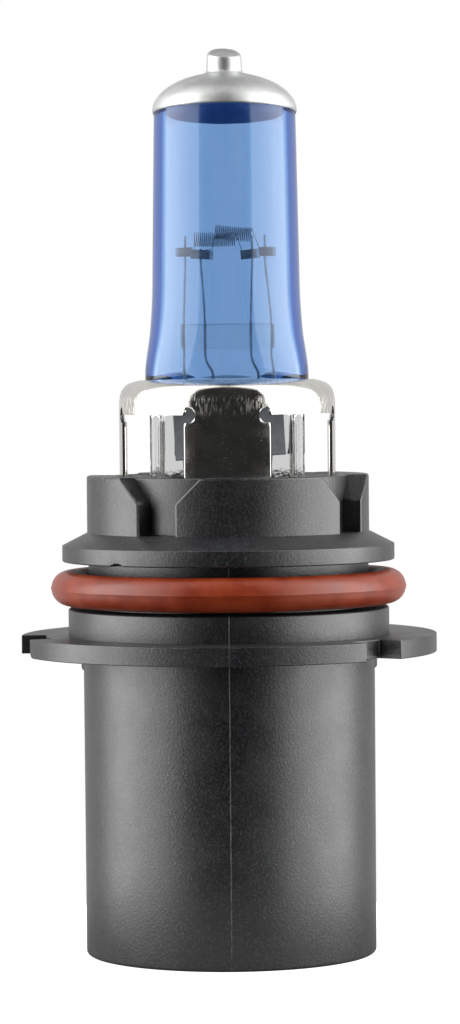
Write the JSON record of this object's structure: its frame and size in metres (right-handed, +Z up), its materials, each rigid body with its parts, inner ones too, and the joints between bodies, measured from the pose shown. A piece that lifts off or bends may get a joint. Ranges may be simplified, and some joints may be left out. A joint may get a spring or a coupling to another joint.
{
  "type": "headlight bulb",
  "caption": "Two-filament halogen headlight bulb: blue capsule with silver top in a steel cage, round moulded base with notched flange, sealing ring and blade terminals.",
  "frame": {"origin": "centre of the base rim's lower face, where the bulb stands on its connector end", "axes": "+Z up the bulb's axis to the silver top, -Y towards the front notch side, +X along the filaments"},
  "size_m": [0.0418, 0.0418, 0.0908],
  "materials": {
    "housing": "fine-grained moulded dark grey nylon",
    "seal": "satin brick-red silicone",
    "cage": "bright nickel-plated steel",
    "clip": "dark spring steel",
    "blades": "tin-plated brass",
    "potting": "poured resin",
    "blue_glass": "clear glass with a blue dip coat on the tube",
    "coating": "satin silver heat-proof coat",
    "clear_glass": "clear fused glass",
    "molybdenum": "drawn molybdenum",
    "tungsten": "coiled tungsten"
  },
  "bodies": {
    "root": {"base_housing": "housing", "sealing_ring": "seal", "holder_cage": "cage", "seal_clip": "clip", "high_beam_terminal": "blades", "low_beam_terminal": "blades", "common_terminal": "blades", "potting_seal": "potting", "glass_envelope": "blue_glass", "top_coating": "coating", "exhaust_seal": "clear_glass", "glass_bridge": "clear_glass", "high_beam_foil": "molybdenum", "low_beam_foil": "molybdenum", "common_foil": "molybdenum", "high_beam_lead": "molybdenum", "low_beam_lead": "molybdenum", "common_lead": "molybdenum", "high_beam_post": "molybdenum", "low_beam_post": "molybdenum", "high_beam_return_post": "molybdenum", "low_beam_return_post": "molybdenum", "high_beam_crimp": "molybdenum", "low_beam_crimp": "molybdenum", "high_beam_return_crimp": "molybdenum", "low_beam_return_crimp": "molybdenum", "high_beam_filament": "tungsten", "low_beam_filament": "tungsten"}
  },
  "joints": []
}
